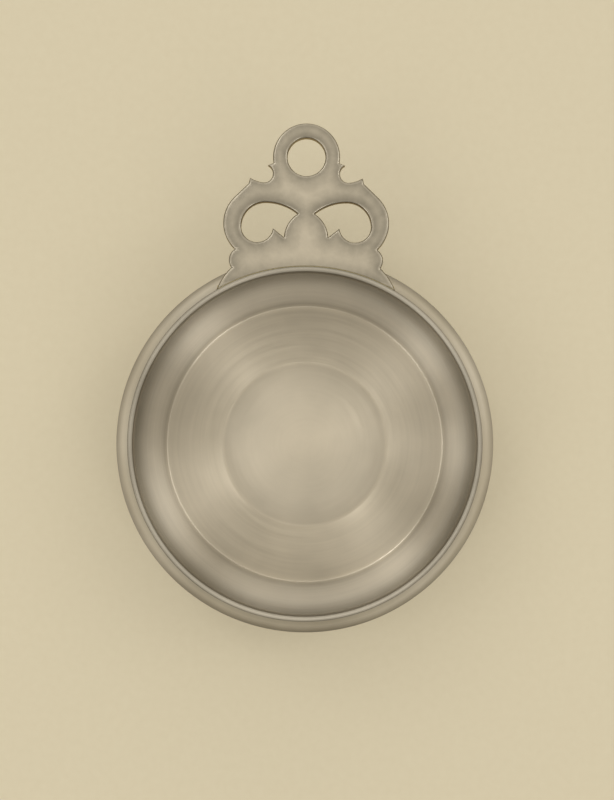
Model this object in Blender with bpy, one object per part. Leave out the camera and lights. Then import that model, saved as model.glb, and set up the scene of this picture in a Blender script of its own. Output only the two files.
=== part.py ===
"""Silver porringer: a raised bowl with a cast, pierced handle hard-soldered to its lip."""

import math

import bmesh
import bpy

# Bowl: heights above the table, radii from the bowl's own axis.
HEIGHT = 0.0476
BELLY_RADIUS = 0.06685
BELLY_HEIGHT = 0.0242
BELLY_ARC_RADIUS = 0.023
STRAIGHT_RUN = 0.0025
BASE_RADIUS = 0.0521
BASE_CORNER_RADIUS = 0.0012
NECK_RADIUS = 0.0589
NECK_ROUND = 0.0012
LIP_HEIGHT = 0.0046
RIM_RADIUS = 0.05973
RIM_WIDTH = 0.00175
RIM_EDGE_ROUND = 0.0005
WALL = 0.0008
FLOOR = 0.0009
DOME_RADIUS = 0.0311
DOME_RISE = 0.003

# Handle: across from its centre line, and out from the rim's edge.
PLATE_THICKNESS = 0.0026
HANDLE_DROP = 0.0003
EDGE_CHAMFER = 0.00035
RING_CENTRE = 0.0368
RING_RADIUS = 0.01128
RING_HOLE_RADIUS = 0.0064
RING_END_ANGLE = -10.5
UPPER_SPUR = (0.01295, 0.0340)
NOTCH_SIDE = (0.01133, 0.0309)
NOTCH_BOTTOM = (0.0143, 0.0282)
LOWER_SPUR = (0.0189, 0.02975)
SHOULDER = (0.01945, 0.0278)
LOBE_CENTRE = (0.0159, 0.01457)
LOBE_RADIUS = 0.012
LOBE_END_ANGLE = -47.6
KNUCKLE_END = (0.0251, -0.0005)
EAR_HALF_WIDTH = 0.030

# How far the outline's shorter arcs bow out from their chords (inward where negative).
UPPER_SPUR_BOW = -0.00055
NOTCH_BOW = -0.00083
LOWER_SPUR_BOW = -0.0003
KNUCKLE_BOW = 0.00135
EAR_BOW = 0.0005

# Side openings: a round end that sweeps up into a long arched top, with a thorn and a cleft.
ROUND_CENTRE = (0.0165, 0.01347)
ROUND_RADIUS = 0.00535
ROUND_END_ANGLE = -173.0
SHOULDER_ARC_RADIUS = 0.00815
CLEFT = (0.00744, 0.0098)
INNER_TIP = (0.0028, 0.0177)
CLEFT_BOW = 0.00115

# Joint: the handle's root is deeper than its plate, and solder fills the seam behind and below it.
ROOT_WIDTH = 0.0022
ROOT_COVE = 0.0012
ROOT_ABOVE_NECK = 0.0004
SEAM = 0.0004
SOLDER_CLEARANCE = 0.0001
SOLDER_TOP_DROP = 0.0003
FILLET_REACH = 0.0014
FILLET_SAG = -0.00025
SOLDER_END_SETBACK = 0.001

# Fineness of the facets.
TURN_STEPS = 96
OUTLINE_STEP = 0.0009
PROFILE_STEP = 0.0030
FILLET_STEPS = 3
SHARP_ANGLE = 35.0
WELD = 1e-7
CUT_MARGIN = 0.002

# Finishes: linear colour and roughness.
SILVER_COLOUR = (0.56, 0.52, 0.44)
SILVER_ROUGHNESS = 0.32
SOLDER_COLOUR = (0.50, 0.46, 0.36)
SOLDER_ROUGHNESS = 0.45

NECK_HEIGHT = HEIGHT - LIP_HEIGHT
HANDLE_TOP = HEIGHT - HANDLE_DROP
ROOT_BOTTOM = NECK_HEIGHT + ROOT_ABOVE_NECK
SEAT_RADIUS = RIM_RADIUS + SEAM
EAR_ANGLE = math.asin(EAR_HALF_WIDTH / SEAT_RADIUS)
BOWL_AXIS_Y = (BELLY_RADIUS - RIM_RADIUS - RING_CENTRE - RING_RADIUS) / 2


def clear_scene():
    """Remove whatever the scene holds."""
    for item in list(bpy.data.objects):
        bpy.data.objects.remove(item, do_unlink=True)


def metal(name, colour, roughness):
    """A metallic material with one colour and one roughness."""
    material = bpy.data.materials.new(name)
    material.use_nodes = True
    shader = material.node_tree.nodes["Principled BSDF"]
    shader.inputs["Base Color"].default_value = (*colour, 1.0)
    shader.inputs["Roughness"].default_value = roughness
    shader.inputs["Metallic"].default_value = 1.0
    return material


def arc(centre, radius, start, end, step):
    """Points of a circular arc between two angles in degrees, both ends included."""
    turn = math.radians(end - start)
    count = max(2, math.ceil(abs(turn) * radius / step))
    angles = [math.radians(start) + turn * i / count for i in range(count + 1)]
    return [(centre[0] + radius * math.cos(a), centre[1] + radius * math.sin(a)) for a in angles]


def bowed(start, end, bow, step):
    """Points of the arc that leaves its chord by bow to the left, without its last point."""
    across = (end[0] - start[0], end[1] - start[1])
    chord = math.hypot(*across)
    half_turn = 2 * math.atan(2 * bow / chord)
    count = max(2, math.ceil(chord / step))
    points = []
    for i in range(count):
        swing = half_turn * (2 * i / count - 1)
        along = 0.5 + math.sin(swing) / (2 * math.sin(half_turn))
        rise = (math.cos(swing) - math.cos(half_turn)) / (2 * math.sin(half_turn))
        x = start[0] + across[0] * along - across[1] * rise
        y = start[1] + across[1] * along + across[0] * rise
        points.append((x, y))
    return points


def corner_angles(before, corner, after):
    """Direction from a corner to the point before it, and the turn from there to the point after."""
    to_before = math.atan2(before[1] - corner[1], before[0] - corner[0])
    to_after = math.atan2(after[1] - corner[1], after[0] - corner[0])
    return to_before, (to_after - to_before + math.pi) % math.tau - math.pi


def inside_corner(before, corner, after, distance):
    """The point inside a corner that lies one distance from both of its sides."""
    to_before, opening = corner_angles(before, corner, after)
    reach = distance / math.sin(abs(opening) / 2)
    bisector = to_before + opening / 2
    return corner[0] + reach * math.cos(bisector), corner[1] + reach * math.sin(bisector)


def rounded(before, corner, after, radius):
    """Points of the fillet arc that takes the place of a corner between two others."""
    to_before, opening = corner_angles(before, corner, after)
    centre = inside_corner(before, corner, after, radius)
    turn = math.copysign(math.pi - abs(opening), opening)
    start = to_before - math.copysign(math.pi / 2, opening)
    angles = [start - turn * i / FILLET_STEPS for i in range(FILLET_STEPS + 1)]
    return [(centre[0] + radius * math.cos(a), centre[1] + radius * math.sin(a)) for a in angles]


def tangent_angle(point, centre, radius, side):
    """Angle in degrees at which the tangent from a point touches a circle, on the given side."""
    across = (point[0] - centre[0], point[1] - centre[1])
    lean = math.acos(min(1.0, radius / math.hypot(*across)))
    return math.degrees(math.atan2(across[1], across[0]) + side * lean)


def belly_arc():
    """Centre, radius and end angles of the belly's curve, which leaves a straight run at each end."""
    slackest = []
    for radius, height in ((BASE_RADIUS, 0.0), (NECK_RADIUS, NECK_HEIGHT)):
        inset = BELLY_RADIUS - radius
        rise = height - BELLY_HEIGHT
        slackest.append((inset**2 + rise**2 - STRAIGHT_RUN**2) / (2 * inset))
    curve = min(BELLY_ARC_RADIUS, *slackest)
    centre = (BELLY_RADIUS - curve, BELLY_HEIGHT)
    low = tangent_angle((BASE_RADIUS, 0.0), centre, curve, 1)
    high = tangent_angle((NECK_RADIUS, NECK_HEIGHT), centre, curve, -1)
    return centre, curve, low, high


def on_tangent(centre, radius, angle, height):
    """Radius, at a height, of the straight wall that leaves the belly's curve at an angle."""
    a = math.radians(angle)
    rise = height - centre[1] - radius * math.sin(a)
    return centre[0] + radius * math.cos(a) - rise * math.tan(a)


def lip_radius(height):
    """Outer radius of the lip at a height."""
    return NECK_RADIUS + (RIM_RADIUS - NECK_RADIUS) * (height - NECK_HEIGHT) / LIP_HEIGHT


def dome_height(radius):
    """How far the kicked-up middle of the floor stands above the floor at a radius."""
    sphere = (DOME_RADIUS**2 + DOME_RISE**2) / (2 * DOME_RISE)
    return math.sqrt(sphere**2 - radius**2) - sphere + DOME_RISE


def bowl_profile():
    """Closed section of the bowl, from the middle of its floor over the rim and back underneath."""
    centre, curve, low, high = belly_arc()
    inner_curve = curve - WALL
    dome_steps = math.ceil(DOME_RADIUS / (2 * PROFILE_STEP))
    dome = [(DOME_RADIUS * i / dome_steps) for i in range(dome_steps + 1)]
    crease = (on_tangent(centre, inner_curve, low, FLOOR), FLOOR)
    inner_neck = (on_tangent(centre, inner_curve, high, NECK_HEIGHT), NECK_HEIGHT)
    inner_rim = (RIM_RADIUS - RIM_WIDTH, HEIGHT)
    outer_rim = (RIM_RADIUS, HEIGHT)
    outer_neck = (NECK_RADIUS, NECK_HEIGHT)
    inner_belly = arc(centre, inner_curve, low, high, PROFILE_STEP)
    outer_belly = arc(centre, curve, high, low, PROFILE_STEP)
    base_corner = (BASE_RADIUS, 0.0)
    base_inside = (DOME_RADIUS, 0.0)

    points = [(r, FLOOR + dome_height(r)) for r in dome]
    points.append(crease)
    points += inner_belly
    points += rounded(inner_belly[-1], inner_neck, inner_rim, NECK_ROUND)
    points += rounded(inner_neck, inner_rim, outer_rim, RIM_EDGE_ROUND)
    points += rounded(inner_rim, outer_rim, outer_neck, RIM_EDGE_ROUND)
    points += rounded(outer_rim, outer_neck, outer_belly[0], NECK_ROUND)
    points += outer_belly
    points += rounded(outer_belly[-1], base_corner, base_inside, BASE_CORNER_RADIUS)
    points += [(r, dome_height(r)) for r in reversed(dome)]
    return points


def turned(name, profile, half_sweep=math.pi):
    """An object turned from a closed (radius, height) section, about the +Y direction if not full."""
    full = half_sweep >= math.pi
    bm = bmesh.new()
    lean = math.pi / 2 - half_sweep
    along = (math.cos(lean), math.sin(lean))
    verts = [bm.verts.new((r * along[0], r * along[1], z)) for r, z in profile]
    pairs = zip(verts, verts[1:] + verts[:1])
    edges = [bm.edges.new(pair) for pair in pairs]
    steps = TURN_STEPS if full else math.ceil(TURN_STEPS * half_sweep / math.pi)
    bmesh.ops.spin(bm, geom=verts + edges, axis=(0, 0, 1), angle=2 * half_sweep, steps=steps, use_merge=full)
    bmesh.ops.remove_doubles(bm, verts=bm.verts, dist=WELD)
    if full:
        on_axis = [e for e in bm.edges if not e.link_faces]
        bmesh.ops.delete(bm, geom=on_axis, context="EDGES")
    else:
        bmesh.ops.holes_fill(bm, edges=[e for e in bm.edges if e.is_boundary])
    return finished(name, bm)


def finished(name, bm):
    """An object of the mesh, with its faces outward and its round parts smooth."""
    bmesh.ops.recalc_face_normals(bm, faces=bm.faces)
    mesh = bpy.data.meshes.new(name)
    bm.to_mesh(mesh)
    bm.free()
    mesh.shade_smooth()
    mesh.set_sharp_from_angle(angle=math.radians(SHARP_ANGLE))
    item = bpy.data.objects.new(name, mesh)
    bpy.context.collection.objects.link(item)
    return item


def mirrored(half):
    """A closed outline from its right half, which starts and ends on the centre line or clear of it."""
    left = [(-x, y) for x, y in reversed(half) if x > WELD]
    return half + left


def handle_outline():
    """The handle's outer edge, from the top of its ring round to the ears that hug the rim."""
    ring = (0.0, RING_CENTRE)
    half = arc(ring, RING_RADIUS, 90, RING_END_ANGLE, OUTLINE_STEP)
    half += bowed(UPPER_SPUR, NOTCH_SIDE, UPPER_SPUR_BOW, OUTLINE_STEP)
    half += bowed(NOTCH_SIDE, NOTCH_BOTTOM, NOTCH_BOW, OUTLINE_STEP)
    half += bowed(NOTCH_BOTTOM, LOWER_SPUR, LOWER_SPUR_BOW, OUTLINE_STEP)
    half += [LOWER_SPUR, SHOULDER]
    lobe_start = tangent_angle(SHOULDER, LOBE_CENTRE, LOBE_RADIUS, -1)
    half += arc(LOBE_CENTRE, LOBE_RADIUS, lobe_start, LOBE_END_ANGLE, OUTLINE_STEP)
    ear = (EAR_HALF_WIDTH, SEAT_RADIUS * math.cos(EAR_ANGLE) - RIM_RADIUS)
    half += bowed(half.pop(), KNUCKLE_END, KNUCKLE_BOW, OUTLINE_STEP)
    half += bowed(KNUCKLE_END, ear, EAR_BOW, OUTLINE_STEP)
    tuck = (RIM_RADIUS - RIM_WIDTH) / SEAT_RADIUS
    half += [ear, (EAR_HALF_WIDTH * tuck, (ear[1] + RIM_RADIUS) * tuck - RIM_RADIUS)]
    return mirrored(half)


def side_opening():
    """The pierced opening on the right of the handle's centre line."""
    shoulder_x = ROUND_CENTRE[0] + ROUND_RADIUS - SHOULDER_ARC_RADIUS
    shoulder = (shoulder_x, ROUND_CENTRE[1])
    top = (shoulder_x, ROUND_CENTRE[1] + SHOULDER_ARC_RADIUS)
    run = shoulder_x - INNER_TIP[0]
    drop = top[1] - INNER_TIP[1]
    arch_radius = (run**2 + drop**2) / (2 * drop)
    arch = (shoulder_x, top[1] - arch_radius)
    arch_start = math.degrees(math.atan2(INNER_TIP[1] - arch[1], INNER_TIP[0] - arch[0]))
    points = arc(arch, arch_radius, arch_start, 90, OUTLINE_STEP)[:-1]
    points += arc(shoulder, SHOULDER_ARC_RADIUS, 90, 0, OUTLINE_STEP)[:-1]
    points += arc(ROUND_CENTRE, ROUND_RADIUS, 0, ROUND_END_ANGLE, OUTLINE_STEP)
    points += bowed(CLEFT, INNER_TIP, -CLEFT_BOW, OUTLINE_STEP)
    return points


def pierced_plate(name, outlines, bottom, top):
    """A flat plate with holes, from closed outlines, chamfered along its upper edges."""
    bm = bmesh.new()
    for outline in outlines:
        verts = [bm.verts.new((x, y + RIM_RADIUS, bottom)) for x, y in outline]
        for pair in zip(verts, verts[1:] + verts[:1]):
            bm.edges.new(pair)
    bmesh.ops.triangle_fill(bm, edges=bm.edges, use_beauty=True, normal=(0, 0, 1))
    raised = bmesh.ops.extrude_face_region(bm, geom=bm.faces, use_keep_orig=True)["geom"]
    risen = [v for v in raised if isinstance(v, bmesh.types.BMVert)]
    bmesh.ops.translate(bm, verts=risen, vec=(0, 0, top - bottom - EDGE_CHAMFER))
    bmesh.ops.recalc_face_normals(bm, faces=bm.faces)
    upper = [f for f in bm.faces if f.normal.z > 0.5]
    bmesh.ops.inset_region(bm, faces=upper, use_even_offset=True, thickness=EDGE_CHAMFER, depth=EDGE_CHAMFER)
    return finished(name, bm)


def cut(item, cutter):
    """Take a hidden cutter's shape away from an object."""
    cutter.hide_render = True
    cutter.display_type = "WIRE"
    step = item.modifiers.new(cutter.name, "BOOLEAN")
    step.operation = "DIFFERENCE"
    step.solver = "EXACT"
    step.object = cutter


def build_bowl(silver):
    """The bowl: domed floor, round belly, drawn-in neck and flat-topped lip in one sheet."""
    bowl = turned("bowl", bowl_profile())
    bowl.data.materials.append(silver)
    return bowl


def build_handle(silver):
    """The handle: a pierced plate on a deeper root that is hollowed to fit the lip."""
    hole = arc((0.0, RING_CENTRE), RING_HOLE_RADIUS, 0, 360, OUTLINE_STEP)[:-1]
    right = side_opening()
    left = [(-x, y) for x, y in right]
    outlines = [handle_outline(), hole, right, left]
    handle = pierced_plate("handle", outlines, ROOT_BOTTOM, HANDLE_TOP)
    handle.data.materials.append(silver)

    low = ROOT_BOTTOM - CUT_MARGIN
    high = HEIGHT + CUT_MARGIN
    seat = [(0.0, low), (0.0, high), (lip_radius(high) + SEAM, high), (lip_radius(low) + SEAM, low)]
    root = SEAT_RADIUS + ROOT_WIDTH
    far = SEAT_RADIUS + RING_CENTRE + RING_RADIUS + CUT_MARGIN
    ceiling = HANDLE_TOP - PLATE_THICKNESS
    cove = rounded((root, low), (root, ceiling), (far, ceiling), ROOT_COVE)
    undercut = [(root, low)] + cove + [(far, ceiling), (far, low)]
    cut(handle, turned("handle_seat_cutter", seat))
    cut(handle, turned("handle_underside_cutter", undercut))
    return handle


def build_solder(solder):
    """The hard solder: a film behind the handle's root and a fillet in the neck below it."""
    top = HANDLE_TOP - SOLDER_TOP_DROP
    ceiling = ROOT_BOTTOM - SOLDER_CLEARANCE
    film = SEAM - SOLDER_CLEARANCE
    slope = math.radians(belly_arc()[-1])
    neck = (NECK_RADIUS, NECK_HEIGHT)
    lip = (lip_radius(top), top)
    wall = (neck[0] + FILLET_REACH * math.sin(slope), neck[1] - FILLET_REACH * math.cos(slope))
    toe = (wall[0] + SOLDER_CLEARANCE * math.cos(slope), wall[1] + SOLDER_CLEARANCE * math.sin(slope))
    edge = (lip_radius(ceiling) + film + FILLET_REACH, ceiling)
    behind = (lip[0] + SOLDER_CLEARANCE, top)
    corner = inside_corner(wall, neck, lip, SOLDER_CLEARANCE)
    section = [behind, (lip[0] + film, top), (lip_radius(ceiling) + film, ceiling)]
    section += bowed(edge, toe, FILLET_SAG, OUTLINE_STEP)
    section.append(toe)
    section += rounded(toe, corner, behind, NECK_ROUND - SOLDER_CLEARANCE)
    seam = turned("handle_solder", section, EAR_ANGLE - SOLDER_END_SETBACK / SEAT_RADIUS)
    seam.data.materials.append(solder)
    return seam


def main():
    """Build the three pieces and set them under one empty at the bowl's axis."""
    clear_scene()
    build_bowl(metal("bowl_silver", SILVER_COLOUR, SILVER_ROUGHNESS))
    build_handle(metal("handle_silver", SILVER_COLOUR, SILVER_ROUGHNESS))
    build_solder(metal("silver_solder", SOLDER_COLOUR, SOLDER_ROUGHNESS))
    root = bpy.data.objects.new("porringer", None)
    root.location = (0.0, BOWL_AXIS_Y, 0.0)
    bpy.context.collection.objects.link(root)
    for item in bpy.data.objects:
        if item.type == "MESH":
            item.parent = root


main()
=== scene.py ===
"""Studio view of the silver porringer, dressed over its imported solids."""

from __future__ import annotations

import logging
import math
from dataclasses import dataclass, field, replace
from enum import Enum

import bmesh
import bpy
import numpy as np
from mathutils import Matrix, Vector, geometry, kdtree


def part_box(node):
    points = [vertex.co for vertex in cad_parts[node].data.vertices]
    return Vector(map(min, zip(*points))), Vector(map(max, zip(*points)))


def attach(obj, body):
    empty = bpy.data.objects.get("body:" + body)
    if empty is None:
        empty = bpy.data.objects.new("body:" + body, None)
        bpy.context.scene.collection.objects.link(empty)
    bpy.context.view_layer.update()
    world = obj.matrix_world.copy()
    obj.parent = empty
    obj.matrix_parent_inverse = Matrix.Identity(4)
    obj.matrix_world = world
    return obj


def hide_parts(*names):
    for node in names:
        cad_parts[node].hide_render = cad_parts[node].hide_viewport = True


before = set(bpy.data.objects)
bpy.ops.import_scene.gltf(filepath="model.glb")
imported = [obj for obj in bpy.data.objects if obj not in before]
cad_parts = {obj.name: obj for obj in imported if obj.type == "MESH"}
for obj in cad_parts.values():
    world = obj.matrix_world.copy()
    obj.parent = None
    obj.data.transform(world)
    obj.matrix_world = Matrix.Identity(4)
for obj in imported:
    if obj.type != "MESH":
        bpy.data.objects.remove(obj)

MM = 0.001
BODY = "root"
PHOTO_SIZE = (614, 800)
SENSOR = 36.0
WELD = 1e-7
ON_AXIS = 1e-6
SMOOTH_ANGLE = math.radians(40)
# Settings that several nodes share.
ADD = {"operation": "ADD"}
CLAMPED_ADD = {"operation": "ADD", "use_clamp": True}
DIVIDE = {"operation": "DIVIDE"}
COLOURS = {"data_type": "RGBA"}
log = logging.getLogger("porringer")

Point = tuple[float, float]
Colour = tuple[float, float, float, float]
Rows = tuple[tuple[float, ...], ...]
Table = tuple[tuple[str, Rows], ...]


class Slot(Enum):
    """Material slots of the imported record."""

    BOWL = "bowl_silver"
    HANDLE = "handle_silver"
    SOLDER = "silver_solder"


class Zone(Enum):
    """Zones of the bowl, by the material number of their faces."""

    WALLS = 0
    DOME = 1
    RIM = 2


def linear(hex_code: str) -> Colour:
    """Turn an sRGB hex value into a linear colour.

    Args:
        hex_code: Six hex digits, with or without a leading hash.

    Returns:
        Red, green, blue and alpha, each from 0 to 1.
    """
    digits = hex_code.lstrip("#")
    parts = [int(digits[i : i + 2], 16) / 255 for i in (0, 2, 4)]
    red, green, blue = (p / 12.92 if p <= 0.04045 else ((p + 0.055) / 1.055) ** 2.4 for p in parts)
    return red, green, blue, 1.0


def feed(tree: bpy.types.NodeTree, node: bpy.types.Node, **links: object) -> None:
    """Link or set the inputs of a node.

    Args:
        tree: The node's tree.
        node: The node to feed.
        links: Inputs by name, or by "in" and a number. A socket or a node's first output is linked, and a
            value is set.
    """
    for name, value in links.items():
        key = int(name[2:]) if name[:2] == "in" and name[2:].isdigit() else name.replace("_", " ")
        source = value.outputs[0] if isinstance(value, bpy.types.Node) else value
        if isinstance(source, bpy.types.NodeSocket):
            tree.links.new(source, node.inputs[key])
        else:
            node.inputs[key].default_value = source


def add_node(
    tree: bpy.types.NodeTree, kind: str, settings: dict | None = None, **links: object
) -> bpy.types.Node:
    """Add a shader node, give it its settings and feed its inputs.

    Args:
        tree: The node tree that the node joins.
        kind: The node's Blender type, without the ShaderNode that it starts with.
        settings: Properties of the node by name.
        links: Inputs, as for feeding a node.

    Returns:
        The new node.
    """
    node = tree.nodes.new("ShaderNode" + kind)
    for name, value in (settings or {}).items():
        setattr(node, name, value)
    feed(tree, node, **links)
    return node


def spread(level: float, by: float) -> dict[str, float]:
    """Range inputs that spread a noise about a level; most of its values lie from 0.3 to 0.7."""
    return {"From_Min": 0.3, "From_Max": 0.7, "To_Min": level - by, "To_Max": level + by}


def fill_ramp(ramp: bpy.types.ColorRamp, rows: Rows, column: int = 1) -> None:
    """Set the stops of a grey ramp.

    Args:
        ramp: The ramp of a node.
        rows: Place of each stop, in rising order, and its levels, all from 0 to 1.
        column: Which number of a row is the level.
    """
    while len(ramp.elements) > 1:
        ramp.elements.remove(ramp.elements[-1])
    ramp.elements[0].position = rows[0][0]
    for number, row in enumerate(rows):
        stop = ramp.elements.new(row[0]) if number else ramp.elements[0]
        stop.color = (row[column], row[column], row[column], 1.0)


def new_material(name: str) -> tuple[bpy.types.Material, bpy.types.NodeTree, bpy.types.Node]:
    """Make an empty node material.

    Args:
        name: The material's name.

    Returns:
        The material, its node tree and its surface shader.
    """
    material = bpy.data.materials.new(name)
    material.use_nodes = True
    tree = material.node_tree
    return material, tree, tree.nodes["Principled BSDF"]


def arc(centre: Point, radius: float, start: float, end: float, step: float) -> list[Point]:
    """Points of a circular arc.

    Args:
        centre: The circle's centre.
        radius: The circle's radius.
        start: First angle in degrees.
        end: Last angle in degrees.
        step: Longest distance between neighbouring points.

    Returns:
        The points, both ends included.
    """
    turn = math.radians(end - start)
    count = max(2, math.ceil(abs(turn) * radius / step))
    angles = [math.radians(start) + turn * i / count for i in range(count + 1)]
    return [(centre[0] + radius * math.cos(a), centre[1] + radius * math.sin(a)) for a in angles]


def bowed(start: Point, end: Point, bow: float, step: float) -> list[Point]:
    """Points of the arc that leaves its chord by a bow to the left.

    Args:
        start: First point.
        end: Last point.
        bow: Height of the arc over its chord.
        step: Longest distance between neighbouring points.

    Returns:
        The points, without the last one.
    """
    dx, dy = end[0] - start[0], end[1] - start[1]
    half_turn = 2 * math.atan(2 * bow / math.hypot(dx, dy))
    count = max(2, math.ceil(math.hypot(dx, dy) / step))
    points = []
    for i in range(count):
        swing = half_turn * (2 * i / count - 1)
        along = 0.5 + math.sin(swing) / (2 * math.sin(half_turn))
        rise = (math.cos(swing) - math.cos(half_turn)) / (2 * math.sin(half_turn))
        points.append((start[0] + dx * along - dy * rise, start[1] + dy * along + dx * rise))
    return points


def rounded(before: Point, corner: Point, after: Point, radius: float, steps: int = 8) -> list[Point]:
    """Points of the fillet arc that takes the place of a corner.

    Args:
        before: The point before the corner.
        corner: The corner itself.
        after: The point after the corner.
        radius: The fillet's radius.
        steps: Number of pieces the arc is cut into.

    Returns:
        The arc's points, in the order of travel.
    """
    to_before = math.atan2(before[1] - corner[1], before[0] - corner[0])
    to_after = math.atan2(after[1] - corner[1], after[0] - corner[0])
    opening = (to_after - to_before + math.pi) % math.tau - math.pi
    reach = radius / math.sin(abs(opening) / 2)
    bisector = to_before + opening / 2
    centre = (corner[0] + reach * math.cos(bisector), corner[1] + reach * math.sin(bisector))
    turn = math.copysign(math.pi - abs(opening), opening)
    start = to_before - math.copysign(math.pi / 2, opening)
    angles = [start - turn * i / steps for i in range(steps + 1)]
    return [(centre[0] + radius * math.cos(a), centre[1] + radius * math.sin(a)) for a in angles]


def straight(start: Point, end: Point, step: float) -> list[Point]:
    """Points along a straight line, without its ends.

    Args:
        start: First point.
        end: Last point.
        step: Longest distance between neighbouring points.

    Returns:
        The points between the two ends.
    """
    count = max(1, math.ceil(math.dist(start, end) / step))
    return [tuple(a + (b - a) * i / count for a, b in zip(start, end)) for i in range(1, count)]


def tangent_angle(point: Point, centre: Point, radius: float, side: int) -> float:
    """Angle in degrees at which a tangent from a point touches a circle.

    Args:
        point: Where the tangent starts.
        centre: The circle's centre.
        radius: The circle's radius.
        side: 1 or -1, for the tangent on either side.

    Returns:
        The touching point's angle about the centre.
    """
    across = (point[0] - centre[0], point[1] - centre[1])
    lean = math.acos(min(1.0, radius / math.hypot(*across)))
    return math.degrees(math.atan2(across[1], across[0]) + side * lean)


def edge_fall(away: float, radius: float) -> float:
    """How far a rounded edge has fallen at a distance from the edge."""
    short = max(0.0, radius - away)
    return radius - math.sqrt(radius**2 - short**2)


def search_tree(points: np.ndarray) -> kdtree.KDTree:
    """Search tree over points of a flat plan.

    Args:
        points: The points.

    Returns:
        The tree, ready for finding the nearest.
    """
    tree = kdtree.KDTree(len(points))
    for number, (x, y) in enumerate(points):
        tree.insert((x, y, 0.0), number)
    tree.balance()
    return tree


def start_piece(name: str, points: list[Vector]) -> bpy.types.Object:
    """Lay a ring of vertices along a closed outline, in a new object left in edit mode.

    Args:
        name: The object's name.
        points: The outline's points.

    Returns:
        The object.
    """
    bpy.ops.object.select_all(action="DESELECT")
    bpy.ops.mesh.primitive_circle_add(vertices=len(points), radius=MM)
    piece = bpy.context.object
    piece.name = name
    bpy.ops.object.mode_set(mode="EDIT")
    mesh = bmesh.from_edit_mesh(piece.data)
    for vert, point in zip(mesh.verts, points):
        vert.co = point
    bmesh.update_edit_mesh(piece.data)
    bpy.ops.mesh.select_all(action="SELECT")
    return piece


def close_piece(piece: bpy.types.Object) -> bpy.types.Object:
    """Weld a piece that is in edit mode, turn its faces outward and leave it smooth.

    Args:
        piece: The object in edit mode.

    Returns:
        The same object, in object mode.
    """
    bpy.ops.mesh.select_all(action="SELECT")
    bpy.ops.mesh.remove_doubles(threshold=WELD)
    bpy.ops.mesh.normals_make_consistent(inside=False)
    bpy.ops.object.mode_set(mode="OBJECT")
    bpy.ops.object.shade_smooth_by_angle(angle=SMOOTH_ANGLE)
    return piece


def place(piece: bpy.types.Object, node: str, slot: Slot, *finishes: bpy.types.Material) -> None:
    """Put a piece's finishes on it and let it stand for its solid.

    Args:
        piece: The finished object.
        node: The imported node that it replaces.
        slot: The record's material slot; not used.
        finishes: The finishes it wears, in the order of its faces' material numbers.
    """
    for finish in finishes:
        piece.data.materials.append(finish)
    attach(piece, BODY)
    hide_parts(node)
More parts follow.
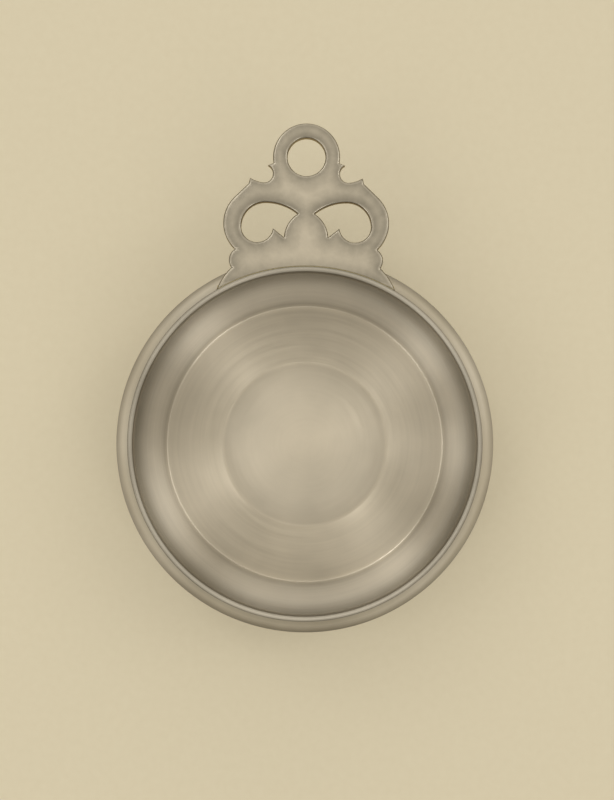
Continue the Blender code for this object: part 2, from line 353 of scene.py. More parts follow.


# To the eye: warm grey silver with soft lights, drawn into fans where burnished, dark where tarnish and
# painted shade lie.
@dataclass(frozen=True)
class TurnedSilver:
    """Raised silver, planished with a hammer, and burnished in circles where it is anisotropic."""

    name: str
    axis: Point
    length: float
    # Share of the section's length, level of tarnish and painted shade at the handle and opposite, and level
    # at the two sides.
    tarnish_shade_levels: Rows
    whiteness: Rows
    roughness: float
    anisotropy: float = 0.0
    groove: float = 0.0
    streak: float = 0.0
    bright: str = "#E2D6BF"
    white: str = "#DEDBD3"
    # The dark colour that tarnish and painted shade mix in.
    tarnish_and_shade: str = "#7B7568"
    edge: str = "#857D70"
    # A burnisher's strokes are about 0.2 mm wide, too fine to show, so they are drawn coarser.
    burnish_width: float = 1.1 * MM
    planish_width: float = 6.0 * MM
    dent: float = 0.01 * MM
    cloud_width: float = 26.0 * MM
    mottle: float = 0.08
    sheen_spread: float = 0.05

    def make(self) -> bpy.types.Material:
        """Build the material.

        Returns:
            The finish for a zone of the bowl.
        """
        material, tree, shader = new_material(self.name)
        here = add_node(tree, "TexCoord").outputs["Object"]
        spot = add_node(tree, "Mapping", Vector=here, Location=(-self.axis[0], -self.axis[1], 0.0))
        run = add_node(tree, "Attribute", {"attribute_name": "run"}).outputs["Fac"]
        parts = add_node(tree, "SeparateXYZ", Vector=spot).outputs
        flat = add_node(tree, "CombineXYZ", X=parts["X"], Y=parts["Y"])
        facing = add_node(tree, "VectorMath", {"operation": "NORMALIZE"}, in0=flat)
        side = add_node(tree, "SeparateXYZ", Vector=facing).outputs
        # The burnisher's rounds: bands that stay level round the bowl and fade in and out along it.
        track = add_node(tree, "Math", DIVIDE, in0=run, in1=self.burnish_width)
        wound = add_node(tree, "CombineXYZ", X=track, Y=side["X"], Z=side["Y"])
        bands = add_node(tree, "TexNoise", Vector=wound, Scale=1.0, Detail=3.0, Roughness=0.6)
        # Tarnish and painted light along the section: painted highlights on the lip, the crease and the
        # dome's edge, and painted shade under the rim and towards the belly's outline.
        share = add_node(tree, "Math", DIVIDE, in0=run, in1=self.length)
        at_ends, at_sides, wiped = (add_node(tree, "ValToRGB", Fac=share) for _ in range(3))
        fill_ramp(at_ends.color_ramp, self.tarnish_shade_levels)
        fill_ramp(at_sides.color_ramp, self.tarnish_shade_levels, column=2)
        # The levels at the two sides paint light and shade that differ with direction round the bowl; they
        # blend in by the square of the sideways facing.
        sideways = add_node(tree, "Math", {"operation": "POWER"}, in0=side["X"], in1=2.0)
        tarnish_shade = add_node(tree, "Mix", Factor=sideways, in2=at_ends, in3=at_sides)
        clouds = add_node(tree, "TexNoise", Vector=spot, Scale=1 / self.cloud_width, Detail=3.0)
        mottled = add_node(tree, "MapRange", Value=clouds, **spread(0.0, self.mottle))
        ringed = add_node(tree, "MapRange", Value=bands, **spread(0.0, self.streak))
        uneven = add_node(tree, "Math", ADD, in0=mottled, in1=ringed)
        darkening = add_node(tree, "Math", CLAMPED_ADD, in0=tarnish_shade, in1=uneven)
        # The wall and the belly are wiped most often and have kept a whiter silver than the floor.
        fill_ramp(wiped.color_ramp, self.whiteness)
        silver = add_node(tree, "Mix", COLOURS, Factor=wiped, in6=linear(self.bright), in7=linear(self.white))
        colour = add_node(
            tree, "Mix", COLOURS, Factor=darkening, in6=silver.outputs[2], in7=linear(self.tarnish_and_shade)
        ).outputs[2]
        polish = add_node(tree, "MapRange", Value=bands, **spread(self.roughness, self.sheen_spread))
        # Hammer marks, planed down until only a faint unevenness is left.
        dents = add_node(
            tree, "TexVoronoi", {"feature": "SMOOTH_F1"}, Vector=spot, Scale=1 / self.planish_width
        )
        hammered = add_node(tree, "Bump", Height=dents, Strength=1.0, Distance=self.dent)
        rubbed = add_node(tree, "Bump", Height=bands, Strength=1.0, Distance=self.groove, Normal=hammered)
        along = add_node(tree, "Tangent", {"direction_type": "UV_MAP", "uv_map": "turning"})
        feed(tree, shader, Base_Color=colour, Roughness=polish, Normal=rubbed, Tangent=along)
        feed(tree, shader, Metallic=1.0, Specular_Tint=linear(self.edge), Anisotropic=self.anisotropy)
        return material


# To the eye: a soft, even sheen, with painted shade greying it towards the edges and a paler painted
# highlight line along them.
@dataclass(frozen=True)
class CastSilver:
    """Cast silver, filed and scraped flat. Its tarnish and painted shade go by the distance from the nearest
    edge.
    """

    bright: str = "#E2D6BF"
    # The dark colour that tarnish and painted shade mix in.
    tarnish_and_shade: str = "#7B7568"
    edge: str = "#A89E8B"
    roughness: float = 0.3
    sheen_spread: float = 0.02
    # A file's strokes are about 0.2 mm wide, too fine to show, so they are drawn coarser.
    scrape_length: float = 9.0 * MM
    scrape_width: float = 0.7 * MM
    scrape_depth: float = 0.0006 * MM
    pit_width: float = 2.2 * MM
    mottle: float = 0.05
    reach: float = 8.0 * MM
    # Distance from the edge in millimetres, and share of tarnish and painted shade: a painted highlight on
    # the edge's wall, a painted dark outline, a paler painted line, and shade that fades towards the middle.
    tarnish_shade_levels: Rows = (
        (0.0, 0.2), (0.1, 0.95), (0.32, 0.8), (0.6, 0.68), (0.9, 0.82), (2.2, 0.66), (4.2, 0.5), (6.5, 0.37),
    )

    def make(self) -> bpy.types.Material:
        """Build the material.

        Returns:
            The finish of the handle.
        """
        material, tree, shader = new_material("cast_filed_silver")
        spot = add_node(tree, "TexCoord").outputs["Object"]
        # The file's strokes run along the handle.
        fine = 1 / self.scrape_width
        drawn_out = add_node(tree, "Mapping", Vector=spot, Scale=(fine, 1 / self.scrape_length, fine))
        strokes = add_node(tree, "TexNoise", Vector=drawn_out, Scale=1.0, Detail=2.0)
        pits = add_node(tree, "TexNoise", Vector=spot, Scale=1 / self.pit_width, Detail=4.0)
        # Tarnish and painted shade by the distance from the edge.
        inward = add_node(tree, "Attribute", {"attribute_name": "inward"}).outputs["Fac"]
        share = add_node(tree, "Math", DIVIDE, in0=inward, in1=self.reach)
        tarnish_shade = add_node(tree, "ValToRGB", Fac=share)
        fill_ramp(tarnish_shade.color_ramp, tuple((at * MM / self.reach, level) for at, level in self.tarnish_shade_levels))
        mottled = add_node(tree, "MapRange", Value=pits, **spread(0.0, self.mottle))
        darkening = add_node(tree, "Math", CLAMPED_ADD, in0=tarnish_shade, in1=mottled)
        silver, dull = linear(self.bright), linear(self.tarnish_and_shade)
        colour = add_node(tree, "Mix", COLOURS, Factor=darkening, in6=silver, in7=dull)
        polish = add_node(tree, "MapRange", Value=strokes, **spread(self.roughness, self.sheen_spread))
        scraped = add_node(tree, "Bump", Height=strokes, Strength=1.0, Distance=self.scrape_depth)
        feed(tree, shader, Base_Color=colour.outputs[2], Roughness=polish, Normal=scraped)
        feed(tree, shader, Metallic=1.0, Specular_Tint=linear(self.edge))
        return material


# To the eye: a dull, pale line, a little yellower than the silver.
@dataclass(frozen=True)
class HardSolder:
    """Hard silver solder as it ran and froze."""

    bright: str = "#C4B78F"
    dark: str = "#83754F"
    dullest: float = 0.6
    brightest: float = 0.4
    ripple_width: float = 0.8 * MM
    ripple_depth: float = 0.03 * MM

    def make(self) -> bpy.types.Material:
        """Build the material.

        Returns:
            The finish of the seam.
        """
        material, tree, shader = new_material("hard_silver_solder")
        spot = add_node(tree, "TexCoord").outputs["Object"]
        ripple = add_node(tree, "TexNoise", Vector=spot, Scale=1 / self.ripple_width, Detail=3.0)
        colour = add_node(tree, "Mix", COLOURS, Factor=ripple, in6=linear(self.bright), in7=linear(self.dark))
        polish = add_node(tree, "MapRange", Value=ripple, To_Min=self.brightest, To_Max=self.dullest)
        frozen = add_node(tree, "Bump", Height=ripple, Strength=1.0, Distance=self.ripple_depth)
        feed(tree, shader, Base_Color=colour.outputs[2], Roughness=polish, Normal=frozen, Metallic=1.0)
        return material


# To the eye: matt and pale, with a faint fibre and no shine; a little glow keeps the shadow on it soft.
@dataclass(frozen=True)
class PaperBoard:
    """Buff paper board for the floor."""

    light: str = "#B5AC95"
    dark: str = "#AFA58D"
    glow: str = "#CDC2A6"
    glow_strength: float = 0.29
    fibre_width: float = 3.0 * MM
    roughness: float = 0.95
    gloss: float = 0.1

    def make(self) -> bpy.types.Material:
        """Build the material.

        Returns:
            The finish of the floor.
        """
        material, tree, shader = new_material("buff_paper_board")
        spot = add_node(tree, "TexCoord").outputs["Object"]
        fibre = add_node(tree, "TexNoise", Vector=spot, Scale=1 / self.fibre_width, Detail=4.0)
        colour = add_node(tree, "Mix", COLOURS, Factor=fibre, in6=linear(self.light), in7=linear(self.dark))
        feed(tree, shader, Base_Color=colour.outputs[2])
        feed(tree, shader, Roughness=self.roughness, Specular_IOR_Level=self.gloss)
        feed(tree, shader, Emission_Color=linear(self.glow), Emission_Strength=self.glow_strength)
        return material


@dataclass
class Bowl:
    """The raised bowl: kicked-up floor, round belly, drawn-in neck and flat lip."""

    axis: Point
    height: float
    belly_radius: float
    belly_height: float = 24.2 * MM
    belly_arc_radius: float = 23.0 * MM
    base_radius: float = 52.1 * MM
    base_round: float = 1.2 * MM
    neck_radius: float = 58.9 * MM
    neck_round: float = 1.2 * MM
    lip_height: float = 4.6 * MM
    rim_radius: float = 59.73 * MM
    rim_width: float = 1.75 * MM
    rim_flat: float = 0.85 * MM
    rim_slope: float = 0.45 * MM
    rim_round: float = 0.3 * MM
    wall: float = 0.8 * MM
    floor: float = 0.9 * MM
    crease_round: float = 0.9 * MM
    dome_radius: float = 31.1 * MM
    dome_rise: float = 3.0 * MM
    dome_round: float = 5.0 * MM
    step: float = 0.8 * MM
    turns: int = 288
    map_per_metre: float = 5.0
    # How far the hand-worn rim reaches down inside and outside.
    rim_margin: Point = (0.3 * MM, 0.4 * MM)
    # By mark on the section: millimetres past it, share of tarnish and painted shade, and that share at the
    # two sides if it differs there. The levels paint highlight lines at the dome's edge, the crease and the
    # rim's outer edge, a dark line beside the crease and at the neck, shade that deepens up the inner wall to
    # a dark ring under the rim, and shade towards the belly's outline.
    tarnish_and_shade: Table = (
        ("start", ((0.0, 0.36),)),
        ("dome_edge", ((-5.0, 0.4), (-1.2, 0.34), (0.0, 0.16), (1.2, 0.2))),
        ("crease", ((-1.5, 0.22), (-0.6, 0.1, 0.26), (0.0, 0.02, 0.18), (0.9, 0.48), (3.0, 0.2), (6.0, 0.1))),
        ("crease", ((9.0, 0.12, 0.25), (12.0, 0.36, 0.49), (14.5, 0.56, 0.69))),
        ("inner_neck", ((0.0, 0.62),)),
        ("rim_in", ((-0.3, 0.8), (0.3, 0.8, 0.93))),
        ("rim", ((0.0, 0.4, 0.66),)),
        ("rim_out", ((-0.6, 0.14, 0.4), (-0.25, 0.9), (0.4, 1.0))),
        ("neck", ((0.0, 0.8),)),
        ("outer_belly", ((-19.0, 0.34, 0.1), (-16.0, 0.24, 0.0), (-12.5, 0.52, 0.28), (-8.0, 0.77, 0.53))),
        ("outer_belly", ((0.0, 0.62, 0.38),)),
        ("base", ((-6.0, 0.35), (-1.0, 0.6), (3.0, 0.3))),
        ("end", ((0.0, 0.5),)),
    )
    # By mark on the section: millimetres past it, and how white the silver has been wiped.
    whiteness: Table = (
        ("start", ((0.0, 0.0),)),
        ("crease", ((0.0, 0.1), (3.0, 0.3))),
        ("inner_neck", ((0.0, 0.3),)),
        ("rim", ((0.0, 0.3),)),
        ("neck", ((0.0, 0.6),)),
        ("outer_belly", ((0.0, 0.6),)),
        ("base", ((0.0, 0.2),)),
    )
    marks: dict[str, float] = field(default_factory=dict)

    @property
    def neck_height(self) -> float:
        """Height of the neck above the table."""
        return self.height - self.lip_height

    def lip_radius(self, height: float) -> float:
        """Outer radius of the lip at a height."""
        share = (height - self.neck_height) / self.lip_height
        return self.neck_radius + (self.rim_radius - self.neck_radius) * share

    def belly(self) -> tuple[Point, float, float]:
        """Centre of the belly's curve and the angles at which it meets the straight walls.

        Returns:
            The centre, the lower angle and the upper angle, in degrees.
        """
        centre = (self.belly_radius - self.belly_arc_radius, self.belly_height)
        low = tangent_angle((self.base_radius, 0.0), centre, self.belly_arc_radius, 1)
        high = tangent_angle((self.neck_radius, self.neck_height), centre, self.belly_arc_radius, -1)
        return centre, low, high

    def on_wall(self, angle: float, height: float) -> float:
        """Inner radius, at a height, of the straight wall that leaves the belly's curve.

        Args:
            angle: Angle in degrees at which the wall leaves the curve.
            height: Height above the table.

        Returns:
            The radius from the bowl's axis.
        """
        centre = self.belly()[0]
        inner = self.belly_arc_radius - self.wall
        turn = math.radians(angle)
        rise = height - centre[1] - inner * math.sin(turn)
        return centre[0] + inner * math.cos(turn) - rise * math.tan(turn)

    def dome_height(self, radius: float) -> float:
        """Height of the kicked-up middle over the floor, at a radius."""
        sphere = (self.dome_radius**2 + self.dome_rise**2) / (2 * self.dome_rise)
        return math.sqrt(sphere**2 - radius**2) - sphere + self.dome_rise

    def profile(self) -> list[Point]:
        """Closed section of the bowl, from the middle of the floor over the rim and back underneath.

        It also notes how far along the section its marks lie.

        Returns:
            Radius and height of each point.
        """
        centre, low, high = self.belly()
        count = math.ceil(self.dome_radius / self.step)
        dome = [self.dome_radius * i / count for i in range(count - 1)]
        crease = (self.on_wall(low, self.floor), self.floor)
        inner = arc(centre, self.belly_arc_radius - self.wall, low, high, self.step)
        outer = arc(centre, self.belly_arc_radius, high, low, self.step)
        inner_neck = (self.on_wall(high, self.neck_height), self.neck_height)
        rim_in = (self.rim_radius - self.rim_width, self.height - self.rim_slope)
        rim_break = (self.rim_radius - self.rim_flat, self.height)
        rim_out = (self.rim_radius, self.height)
        neck = (self.neck_radius, self.neck_height)
        base = (self.base_radius, 0.0)
        dome_edge = (self.dome_radius, self.floor)
        under_edge = (self.dome_radius, 0.0)
        under_dome = (dome[-1], self.dome_height(dome[-1]))

        points = [(r, self.floor + self.dome_height(r)) for r in dome]
        points += rounded(points[-1], dome_edge, crease, self.dome_round, steps=6)
        points += straight(points[-1], crease, self.step)[:-2]
        points += rounded(points[-1], crease, inner[0], self.crease_round)
        points += straight(points[-1], inner[0], self.step)
        points += inner
        points += straight(inner[-1], inner_neck, self.step)[:-2]
        points += rounded(inner[-1], inner_neck, rim_in, self.neck_round)
        points += straight(points[-1], rim_in, self.step)[:-1]
        points += rounded(inner_neck, rim_in, rim_break, self.rim_round, steps=5)
        points += rounded(rim_in, rim_break, rim_out, self.rim_round, steps=4)
        points += rounded(rim_break, rim_out, neck, self.rim_round, steps=6)
        points += straight(points[-1], neck, self.step)[:-1]
        points += rounded(rim_out, neck, outer[0], self.neck_round)
        points += straight(points[-1], outer[0], self.step)
        points += outer
        points += straight(outer[-1], base, self.step)[:-2]
        points += rounded(outer[-1], base, under_edge, self.base_round)
        points += straight(points[-1], under_edge, 2 * self.step)[:-1]
        points += rounded(base, under_edge, under_dome, self.dome_round, steps=6)
        points += [(r, self.dome_height(r)) for r in reversed(dome)]

        runs = np.concatenate(([0.0], np.cumsum(np.linalg.norm(np.diff(points, axis=0), axis=1))))
        spots = {"dome_edge": dome_edge, "crease": crease, "inner_neck": inner_neck, "rim_in": rim_in}
        spots |= {"rim": rim_break, "rim_out": rim_out, "neck": neck, "base": base}
        spots["outer_belly"] = outer[len(outer) // 2]
        for name, spot in spots.items():
            self.marks[name] = float(runs[np.argmin(np.linalg.norm(np.array(points) - spot, axis=1))])
        self.marks.update(start=0.0, end=float(runs[-1]))
        return points

    def placed(self, table: Table) -> Rows:
        """Rows of a table by their place along the section.

        Args:
            table: For each mark, rows of the millimetres past it, a level, and the sides' level if other.

        Returns:
            Share of the section's length, level at the handle and opposite, and level at the two sides.
        """
        end = self.marks["end"]
        rows = [(self.marks[mark] + past * MM, *levels) for mark, group in table for past, *levels in group]
        return tuple((run / end, levels[0], levels[-1]) for run, *levels in rows)

    def build(self) -> bpy.types.Object:
        """Turn the section about the axis and lay a map along it.

        Returns:
            The finished object.
        """
        section = self.profile()
        piece = start_piece("raised_bowl", [Vector((self.axis[0] + r, self.axis[1], z)) for r, z in section])
        mesh = bmesh.from_edit_mesh(piece.data)
        run_layer = mesh.verts.layers.float.new("run")
        run = 0.0
        before = section[0]
        for vert, spot in zip(mesh.verts, section):
            run += math.dist(before, spot)
            before = spot
            vert[run_layer] = run
        bmesh.update_edit_mesh(piece.data)
        bpy.ops.mesh.spin(steps=self.turns, angle=math.tau, center=(*self.axis, 0.0), axis=(0, 0, 1))
        close_piece(piece)
        self.map_turning(piece)
        return piece

    def map_turning(self, piece: bpy.types.Object) -> None:
        """Lay a map whose first direction runs out from the axis, and number the zones of the faces.

        Args:
            piece: The turned object.
        """
        mesh = piece.data
        spots = np.array([vert.co[:2] for vert in mesh.vertices]) - self.axis
        run = np.array([mark.value for mark in mesh.attributes["run"].data])
        corner = np.array([loop.vertex_index for loop in mesh.loops])
        sides = np.array([polygon.loop_total for polygon in mesh.polygons])
        face = np.repeat(np.arange(len(sides)), sides)
        middle = np.column_stack([np.bincount(face, spots[corner, k]) / sides for k in (0, 1)])
        mean_run = np.bincount(face, run[corner]) / sides
        # A corner on the axis has no direction of its own and takes its face's.
        heading = np.arctan2(middle[:, 1], middle[:, 0])[face]
        turn = np.arctan2(spots[corner, 1], spots[corner, 0])
        turn = np.where(np.hypot(*spots[corner].T) > ON_AXIS, turn, heading)
        turn = heading + (turn - heading + np.pi) % (2 * np.pi) - np.pi
        maps = np.column_stack((run[corner] * self.map_per_metre, turn / (2 * np.pi)))
        layer = mesh.uv_layers.new(name="turning")
        layer.data.foreach_set("uv", maps.ravel())
        inside, outside = self.rim_margin
        on_rim = (mean_run > self.marks["rim_in"] - inside) & (mean_run < self.marks["rim_out"] + outside)
        zone = np.where(on_rim, Zone.RIM.value, Zone.WALLS.value)
        zone = np.where(mean_run < self.marks["dome_edge"], Zone.DOME.value, zone)
        mesh.polygons.foreach_set("material_index", zone.astype(np.int32))

    def dress(self, piece: bpy.types.Object) -> None:
        """Give the walls, the kicked-up middle and the rim their finishes.

        Args:
            piece: The turned object.
        """
        planished = TurnedSilver(
            "raised_planished_silver",
            axis=self.axis,
            length=self.marks["end"],
            tarnish_shade_levels=self.placed(self.tarnish_and_shade),
            whiteness=self.placed(self.whiteness),
            roughness=0.44,
        )
        burnished = replace(
            planished,
            name="raised_burnished_silver",
            roughness=0.4,
            anisotropy=0.9,
            groove=0.004 * MM,
            streak=0.03,
        )
        handled = replace(planished, name="raised_hand_worn_silver", roughness=0.5)
        finishes = {Zone.WALLS: burnished, Zone.DOME: planished, Zone.RIM: handled}
        place(piece, "bowl", Slot.BOWL, *(finishes[zone].make() for zone in Zone))


@dataclass
class Handle:
    """The cast handle: ring, spurs, lobes, knuckles and ears, with two pierced side openings.

    Places on the plan are across from the centre line and out from the rim's edge.
    """

    bowl: Bowl
    drop: float = 0.3 * MM
    thickness: float = 2.6 * MM
    seam: float = 0.2 * MM
    seat_margin: float = 0.01 * MM
    ring_centre: float = 36.8 * MM
    ring_radius: float = 11.28 * MM
    ring_hole: float = 6.4 * MM
    ring_end: float = -10.5
    upper_spur: Point = (12.95 * MM, 34.0 * MM)
    upper_spur_bow: float = -0.55 * MM
    notch_side: Point = (11.33 * MM, 30.9 * MM)
    notch_bow: float = -0.83 * MM
    notch_bottom: Point = (14.3 * MM, 28.2 * MM)
    lower_spur: Point = (18.9 * MM, 29.75 * MM)
    lower_spur_bow: float = -0.3 * MM
    shoulder: Point = (19.45 * MM, 27.8 * MM)
    lobe_centre: Point = (15.9 * MM, 14.57 * MM)
    lobe_radius: float = 12.0 * MM
    lobe_end: float = -47.6
    knuckle_end: Point = (25.1 * MM, -0.5 * MM)
    knuckle_bow: float = 1.35 * MM
    ear_half_width: float = 30.0 * MM
    ear_bow: float = 0.5 * MM
    round_centre: Point = (16.5 * MM, 13.47 * MM)
    round_radius: float = 5.35 * MM
    round_end: float = -173.0
    shoulder_arc: float = 8.15 * MM
    cleft: Point = (7.44 * MM, 9.8 * MM)
    cleft_bow: float = -1.15 * MM
    inner_tip: Point = (2.8 * MM, 17.7 * MM)
    root_width: float = 2.2 * MM
    root_depth: float = 3.9 * MM
    root_sweep: Point = (55.0, 125.0)
    root_step: float = 0.5 * MM
    root_clear: float = 0.15 * MM
    cove: float = 1.2 * MM
    cove_rings: tuple[float, ...] = tuple(width * MM for width in (0.0, 0.15, 0.35, 0.6, 0.9, 1.2))
    edge_round: float = 0.55 * MM
    under_round: float = 0.25 * MM
    crown: float = 0.18 * MM
    crown_reach: float = 3.2 * MM
    # How far painted shade reaches from the lip, how much darker the sides are painted, and how far painted
    # shade reaches in from edges that face the bowl.
    root_shade: float = 2.6 * MM
    side_shade: float = 0.35
    edge_shade: float = 0.95 * MM
    step: float = 0.2 * MM
    rings: tuple[float, ...] = tuple(width * MM for width in (0.04, 0.1, 0.18, 0.28, 0.41, 0.56, 0.8, 1.15))
    ring_slack: float = 0.02 * MM
    grid: float = 0.75 * MM
    grid_clear: float = 0.3 * MM
    row_pitch: float = 0.866

    @property
    def top(self) -> float:
        """Height of the handle's upper face."""
        return self.bowl.height - self.drop

    @property
    def seat(self) -> float:
        """Radius of the hollow that fits the lip."""
        return self.bowl.rim_radius + self.seam

    def ear_angle(self) -> float:
        """Angle from the centre line to the tip of an ear, in radians."""
        return math.asin(self.ear_half_width / self.seat)

    def outline(self) -> list[Point]:
        """The outer edge, clockwise from the tip of the ring.

        Returns:
            Points of the plan.
        """
        half = arc((0.0, self.ring_centre), self.ring_radius, 90, self.ring_end, self.step)
        half += straight(half[-1], self.upper_spur, self.step)
        half += bowed(self.upper_spur, self.notch_side, self.upper_spur_bow, self.step)
        half += bowed(self.notch_side, self.notch_bottom, self.notch_bow, self.step)
        half += bowed(self.notch_bottom, self.lower_spur, self.lower_spur_bow, self.step)
        half += [self.lower_spur, *straight(self.lower_spur, self.shoulder, self.step), self.shoulder]
        start = tangent_angle(self.shoulder, self.lobe_centre, self.lobe_radius, -1)
        lobe = arc(self.lobe_centre, self.lobe_radius, start, self.lobe_end, self.step)
        half += straight(self.shoulder, lobe[0], self.step) + lobe[:-1]
        ear_turn = self.ear_angle()
        ear = (self.ear_half_width, self.seat * math.cos(ear_turn) - self.bowl.rim_radius)
        half += bowed(lobe[-1], self.knuckle_end, self.knuckle_bow, self.step)
        half += bowed(self.knuckle_end, ear, self.ear_bow, self.step)
        left = [(-x, y) for x, y in reversed(half[1:])]
        turn = math.degrees(ear_turn)
        seat = arc((0.0, -self.bowl.rim_radius), self.seat, 90 - turn, 90 + turn, self.step)
        return half + seat + left

    def opening(self) -> list[Point]:
        """The pierced opening on the right of the centre line.

        Returns:
            Points of the plan.
        """
        x = self.round_centre[0] + self.round_radius - self.shoulder_arc
        top = self.round_centre[1] + self.shoulder_arc
        drop = top - self.inner_tip[1]
        arch = ((x - self.inner_tip[0]) ** 2 + drop**2) / (2 * drop)
        start = math.degrees(math.atan2(self.inner_tip[1] - top + arch, self.inner_tip[0] - x))
        points = arc((x, top - arch), arch, start, 90, self.step)[:-1]
        points += arc((x, self.round_centre[1]), self.shoulder_arc, 90, 0, self.step)[:-1]
        points += arc(self.round_centre, self.round_radius, 0, self.round_end, self.step)
        points += straight(points[-1], self.cleft, self.step)
        points += bowed(self.cleft, self.inner_tip, self.cleft_bow, self.step)
        return points

    def loops(self) -> list[np.ndarray]:
        """All edges of the plan, as closed loops with the metal on their left.

        Returns:
            The outer edge, the ring's hole and the two side openings, in the frame's own place.
        """
        right = self.opening()
        left = [(-x, y) for x, y in reversed(right)]
        hole = arc((0.0, self.ring_centre), self.ring_hole, 360, 0, self.step)[:-1]
        loops = [list(reversed(self.outline())), hole, right, left]
        origin = (self.bowl.axis[0], self.bowl.axis[1] + self.bowl.rim_radius)
        return [np.array(loop) + origin for loop in loops]

    def field_points(self, loops: list[np.ndarray], near: kdtree.KDTree) -> list[Point]:
        """Points inside the plan: rings along the edges, an even field and arcs along the root.

        Args:
            loops: The plan's edges.
            near: The edges' points, for finding the nearest.

        Returns:
            The points.
        """
        spots: list[tuple[float, float, float]] = []
        for loop in loops:
            ahead = np.roll(loop, -1, axis=0) - np.roll(loop, 1, axis=0)
            ahead /= np.linalg.norm(ahead, axis=1)[:, None]
            inward = np.column_stack((-ahead[:, 1], ahead[:, 0]))
            for number, width in enumerate(self.rings):
                # Rings further in need fewer points.
                ring = (loop + inward * width)[:: 1 + number // 3]
                spots += [(x, y, width - self.ring_slack) for x, y in ring]
        low, high = loops[0].min(axis=0), loops[0].max(axis=0)
        clear = self.rings[-1] + self.grid_clear
        for row, y in enumerate(np.arange(low[1], high[1], self.grid * self.row_pitch)):
            start = low[0] + (row % 2) * self.grid / 2
            spots += [(x, y, clear) for x in np.arange(start, high[0], self.grid)]
        for width in self.cove_rings:
            root = arc(self.bowl.axis, self.seat + self.root_width + width, *self.root_sweep, self.root_step)
            spots += [(x, y, self.root_clear) for x, y in root]
        return [(x, y) for x, y, clear in spots if near.find((x, y, 0.0))[2] > clear]

    def build(self) -> bpy.types.Object:
        """Lay the plan out flat, raise it to a plate and shape its two faces.

        Insets cross themselves at the spurs' tips, so the flat plan is laid over a field of points instead.

        Returns:
            The finished object.
        """
        loops = self.loops()
        edge = np.vstack(loops)
        near = search_tree(edge)
        spots = [Vector(p) for p in edge] + [Vector(p) for p in self.field_points(loops, near)]
        ends = np.cumsum([0] + [len(loop) for loop in loops])
        rings = [list(range(a, b)) for a, b in zip(ends[:-1], ends[1:])]
        flat, _, faces, _, _, owners = geometry.delaunay_2d_cdt(spots, [], rings, 1, WELD)
        metal = [face for face, owner in zip(faces, owners) if len(owner) == len(rings)]
        mesh = bpy.data.meshes.new("cast_handle")
        mesh.from_pydata([(p.x, p.y, self.top - self.thickness) for p in flat], [], metal)
        piece = bpy.data.objects.new("cast_handle", mesh)
        bpy.context.collection.objects.link(piece)
        bpy.ops.object.select_all(action="DESELECT")
        piece.select_set(True)
        bpy.context.view_layer.objects.active = piece
        bpy.ops.object.mode_set(mode="EDIT")
        bpy.ops.mesh.select_all(action="SELECT")
        bpy.ops.mesh.delete_loose()
        bpy.ops.mesh.select_all(action="SELECT")
        bpy.ops.mesh.extrude_region_move(TRANSFORM_OT_translate={"value": (0.0, 0.0, self.thickness)})
        close_piece(piece)
        out = np.hypot(*(edge - self.bowl.axis).T)
        self.shape(piece, search_tree(edge[out > self.seat + self.seat_margin]))
        return piece

    def shape(self, piece: bpy.types.Object, near: kdtree.KDTree) -> None:
        """Round the edges, crown the upper face, deepen the root, and note for each place the distance that
        sets its tarnish and painted shade.

        Args:
            piece: The flat plate.
            near: Points along the free edges, all but the seat, for finding the nearest.
        """
        inward = piece.data.attributes.new("inward", "FLOAT", "POINT")
        middle = self.top - self.thickness / 2
        for vert in piece.data.vertices:
            edge, _, away = near.find((vert.co.x, vert.co.y, 0.0))
            out = math.dist(vert.co.xy, self.bowl.axis)
            # Painted shade near the lip, and more of it towards the sides of the handle and on its ears,
            # which leaves the middle painted brighter.
            aside = ((vert.co.x - self.bowl.axis[0]) / self.ear_half_width) ** 2
            rubbed = min(away, out - self.seat + self.root_shade * (1 - aside))
            rubbed *= 1 - self.side_shade * aside
            # Painted shade on edges that face the bowl, away from the light beyond the handle.
            turned = max(0.0, vert.co.y - edge.y) / max(away, self.rings[0])
            inward.data[vert.index].value = max(rubbed, self.edge_shade * turned)
            if vert.co.z > middle:
                share = max(0.0, 1 - away / self.crown_reach)
                vert.co.z = self.top - self.crown * share**2 - edge_fall(away, self.edge_round)
            else:
                vert.co.z = self.underside(out) + edge_fall(away, self.under_round)
        piece.data.update()

    def underside(self, out: float) -> float:
        """Height of the handle's underside at a distance from the bowl's axis.

        Args:
            out: Distance from the bowl's axis.

        Returns:
            The height above the table.
        """
        plate = self.top - self.thickness
        deep = self.root_depth - self.thickness
        beyond = out - self.seat - self.root_width
        if beyond <= 0:
            return plate - deep
        short = max(0.0, self.cove - beyond) / self.cove
        return plate - deep * (1 - math.sqrt(1 - short**2))

    def dress(self, piece: bpy.types.Object) -> None:
        """Give the plate its filed finish."""
        place(piece, "handle", Slot.HANDLE, CastSilver().make())


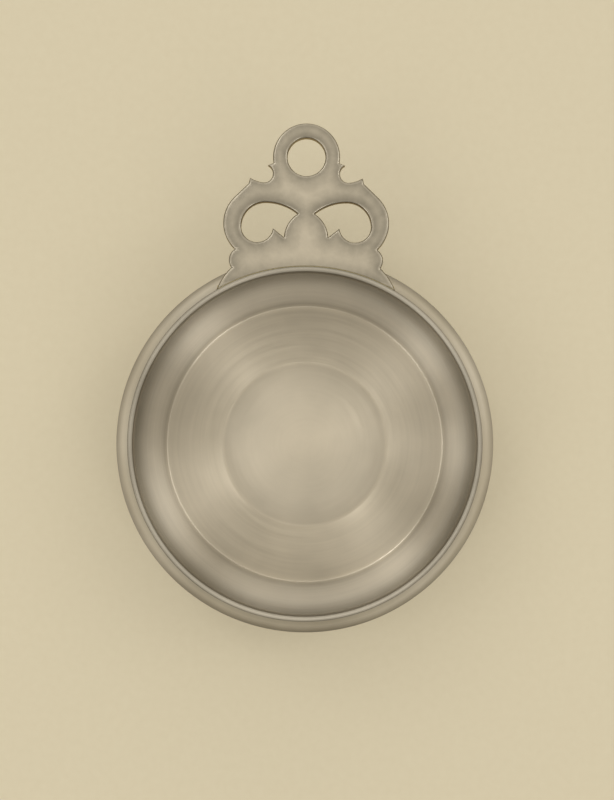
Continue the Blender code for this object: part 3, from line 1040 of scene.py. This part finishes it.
@dataclass
class SolderSeam:
    """The hard solder between the lip and the handle's root, with its fillet in the neck."""

    bowl: Bowl
    handle: Handle
    clearance: float = 0.04 * MM
    top_drop: float = 0.15 * MM
    fillet_reach: float = 1.5 * MM
    fillet_bow: float = -0.3 * MM
    fillet_step: float = 0.2 * MM
    # How far the seam's corner stands off the neck, out and up, in clearances.
    corner_off: Point = (1.6, 0.4)
    end_setback: float = 0.6 * MM
    steps: int = 96

    def section(self) -> list[Point]:
        """Closed section of the seam.

        Returns:
            Radius and height of each point.
        """
        bowl, handle, gap = self.bowl, self.handle, self.clearance
        top = handle.top - self.top_drop
        ceiling = handle.top - handle.root_depth - gap
        slope = math.radians(bowl.belly()[2])
        neck = (bowl.neck_radius, bowl.neck_height)
        reach = self.fillet_reach
        wall = (neck[0] + reach * math.sin(slope), neck[1] - reach * math.cos(slope))
        toe = (wall[0] + gap * math.cos(slope), wall[1] + gap * math.sin(slope))
        film = handle.seat - gap
        behind = (bowl.lip_radius(top) + gap, top)
        corner = (neck[0] + self.corner_off[0] * gap, neck[1] + self.corner_off[1] * gap)
        points = [behind, (film, top), (film, ceiling)]
        points += bowed((film + reach, ceiling), toe, self.fillet_bow, self.fillet_step)
        points.append(toe)
        points += rounded(toe, corner, behind, bowl.neck_round - gap, steps=5)
        return points

    def build(self) -> bpy.types.Object:
        """Turn the section from ear to ear and close its ends.

        Returns:
            The finished object.
        """
        sweep = self.handle.ear_angle() - self.end_setback / self.handle.seat
        lean = math.pi / 2 - sweep
        x, y = self.bowl.axis
        points = [Vector((x + r * math.cos(lean), y + r * math.sin(lean), z)) for r, z in self.section()]
        piece = start_piece("solder_seam", points)
        bpy.ops.mesh.spin(steps=self.steps, angle=2 * sweep, center=(x, y, 0.0), axis=(0, 0, -1))
        bpy.ops.mesh.select_all(action="DESELECT")
        bpy.ops.mesh.select_non_manifold()
        bpy.ops.mesh.fill()
        return close_piece(piece)

    def dress(self, piece: bpy.types.Object) -> None:
        """Give the seam its finish."""
        place(piece, "handle_solder", Slot.SOLDER, HardSolder().make())


@dataclass(frozen=True)
class Softbox:
    """A soft lamp that faces the bowl; most stand tall and narrow, and two low ones lie wide."""

    name: str
    azimuth: float
    elevation: float = 49.0
    power: float = 7.2
    width: float = 0.66
    height: float = 1.35
    distance: float = 2.7

    def hang(self, target: Vector) -> None:
        """Hang the lamp so that it faces a point.

        Args:
            target: The point that the lamp lights.
        """
        data = bpy.data.lights.new(self.name, "AREA")
        data.shape = "RECTANGLE"
        data.size, data.size_y = self.width, self.height
        data.energy = self.power
        lamp = bpy.data.objects.new(self.name, data)
        turn, rise = math.radians(self.azimuth), math.radians(self.elevation)
        away = Vector((math.cos(turn) * math.cos(rise), math.sin(turn) * math.cos(rise), math.sin(rise)))
        lamp.location = target + away * self.distance
        lamp.rotation_euler = away.to_track_quat("Z", "Y").to_euler()
        bpy.context.collection.objects.link(lamp)


@dataclass
class Studio:
    """Pale floor, soft light from all round, and the view from above."""

    target: Point
    belly_height: float
    eye_height: float = 400.0 * MM
    lens: float = 50.5
    roll: float = -0.35
    axis_pixel: Point = (304.8, 444.0)
    near_clip: float = 10.0 * MM
    floor_size: float = 40.0
    floor_gap: float = 0.05 * MM
    # Height above the horizon, from 0 to 1, and how strong the light from there is.
    sky: Rows = (
        (0.0, 0.62), (0.15, 0.52), (0.3, 0.46), (0.55, 0.63), (0.8, 0.79), (0.92, 0.84), (1.0, 0.82),
    )
    sky_lean: tuple[float, float, float] = (0.1, 0.27, 0.0)
    light: str = "#FFFBF2"
    haze: str = "#FFF1D8"
    haze_height: float = 0.35
    lamps: tuple[Softbox, ...] = (
        Softbox("front_left", 218.0),
        Softbox("front_right", 313.0),
        Softbox("right", 23.0, power=9.0, width=0.9),
        Softbox("back_left", 128.0),
        Softbox("left", 178.0, power=5.9),
        Softbox("back", 88.0, elevation=22.0, power=8.1, width=2.7, height=0.6),
        Softbox("front", 268.0, elevation=28.0, power=2.7, width=2.7, height=0.6),
    )

    def build(self) -> None:
        """Make the floor, the lamps, the sky and the camera."""
        self.make_floor()
        self.make_sky()
        for lamp in self.lamps:
            lamp.hang(Vector((*self.target, self.belly_height)))
        self.make_camera()
        bpy.context.scene.view_settings.view_transform = "Standard"

    def make_floor(self) -> None:
        """Lay the floor just under the bowl."""
        bpy.ops.object.select_all(action="DESELECT")
        bpy.ops.mesh.primitive_grid_add(
            x_subdivisions=4, y_subdivisions=4, size=self.floor_size, location=(0.0, 0.0, -self.floor_gap)
        )
        floor = bpy.context.object
        floor.name = "floor"
        floor.data.materials.append(PaperBoard().make())

    def make_sky(self) -> None:
        """Fill the room with soft light, strongest overhead and behind the handle, and warmer low down."""
        world = bpy.data.worlds.new("studio")
        world.use_nodes = True
        tree = world.node_tree
        toward = add_node(tree, "TexCoord").outputs["Generated"]
        height = add_node(tree, "SeparateXYZ", Vector=toward).outputs["Z"]
        level = add_node(tree, "ValToRGB", Fac=height)
        fill_ramp(level.color_ramp, self.sky)
        lean = add_node(tree, "VectorMath", {"operation": "DOT_PRODUCT"}, in0=toward, in1=self.sky_lean)
        share = add_node(tree, "Math", ADD, in0=lean.outputs["Value"], in1=1.0)
        strength = add_node(tree, "Math", {"operation": "MULTIPLY"}, in0=level, in1=share)
        clear = add_node(tree, "MapRange", Value=height, From_Max=self.haze_height)
        tint = add_node(tree, "Mix", COLOURS, Factor=clear, in6=linear(self.haze), in7=linear(self.light))
        feed(tree, tree.nodes["Background"], Color=tint.outputs[2], Strength=strength)
        bpy.context.scene.world = world

    def make_camera(self) -> None:
        """Look straight down on the bowl, framed as in the photograph."""
        data = bpy.data.cameras.new("above")
        data.lens = self.lens
        data.sensor_width = SENSOR
        long_side = max(PHOTO_SIZE)
        data.shift_x = (PHOTO_SIZE[0] / 2 - self.axis_pixel[0]) / long_side
        data.shift_y = (self.axis_pixel[1] - PHOTO_SIZE[1] / 2) / long_side
        data.clip_start = self.near_clip
        camera = bpy.data.objects.new("above", data)
        camera.location = (*self.target, self.belly_height + self.eye_height)
        camera.rotation_euler = (0.0, 0.0, math.radians(-self.roll))
        bpy.context.collection.objects.link(camera)
        bpy.context.scene.camera = camera


def main() -> None:
    """Build the pieces and the studio, and note the size of the result."""
    logging.basicConfig(level=logging.INFO)
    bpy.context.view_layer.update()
    low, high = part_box("bowl")
    axis = ((low.x + high.x) / 2, (low.y + high.y) / 2)
    bowl = Bowl(axis=axis, height=high.z - low.z, belly_radius=(high.x - low.x) / 2)
    handle = Handle(bowl=bowl)
    seam = SolderSeam(bowl=bowl, handle=handle)
    for part in (bowl, handle, seam):
        piece = part.build()
        part.dress(piece)
        log.info("%s: %d faces", piece.name, len(piece.data.polygons))
    Studio(target=axis, belly_height=bowl.belly_height).build()


if __name__ == "__main__":
    main()
